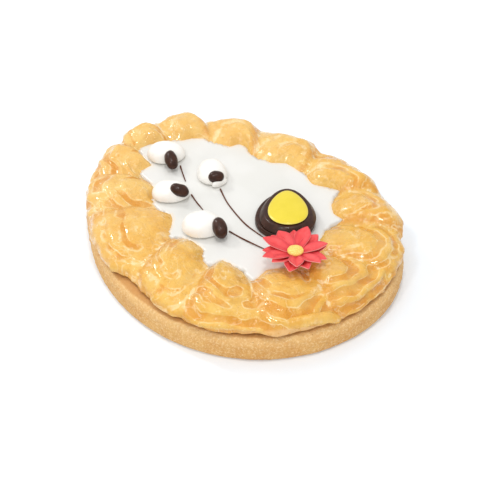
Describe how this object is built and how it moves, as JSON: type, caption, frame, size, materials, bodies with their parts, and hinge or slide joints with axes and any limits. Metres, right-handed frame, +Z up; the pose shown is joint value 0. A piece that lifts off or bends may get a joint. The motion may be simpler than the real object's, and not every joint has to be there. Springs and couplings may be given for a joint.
{
  "type": "mazurek",
  "caption": "Egg-shaped mazurek: a thick shortcrust base and a ring of piped, swirled dough round white icing, with sugar catkins, a chocolate egg and a sugar daisy.",
  "frame": {"origin": "centre of the base's underside, on the surface it rests on", "axes": "+Z up, +Y towards the egg's pointed end, +X to the right seen from the wide end"},
  "size_m": [0.1386, 0.1724, 0.0313],
  "materials": {
    "crust": "baked shortcrust, sandy and porous",
    "glazed_dough": "baked piped dough under a clear wet glaze",
    "icing": "smooth white icing, soft sheen",
    "sugar_white": "white sugar paste, satin",
    "dark_chocolate": "dark chocolate, glossy",
    "milk_chocolate": "drawn chocolate line, satin",
    "sugar_yellow": "yellow sugar, satin",
    "sugar_coral": "coral sugar paste, matt",
    "sugar_gold": "yellow sugar grains, matt"
  },
  "bodies": {
    "root": {"crust_base": "crust", "piped_border": "glazed_dough", "icing": "icing", "catkin_1": "sugar_white", "catkin_2": "sugar_white", "catkin_3": "sugar_white", "catkin_4": "sugar_white", "bud_1": "dark_chocolate", "bud_2": "dark_chocolate", "bud_3": "dark_chocolate", "bud_4": "dark_chocolate", "twig_1": "milk_chocolate", "twig_2": "milk_chocolate", "twig_3": "milk_chocolate", "twig_4": "milk_chocolate", "egg_plaque": "dark_chocolate", "egg_body": "dark_chocolate", "egg_yolk": "sugar_yellow", "flower_petals_lower": "sugar_coral", "flower_petals_upper": "sugar_coral", "flower_button": "sugar_gold"}
  },
  "joints": []
}
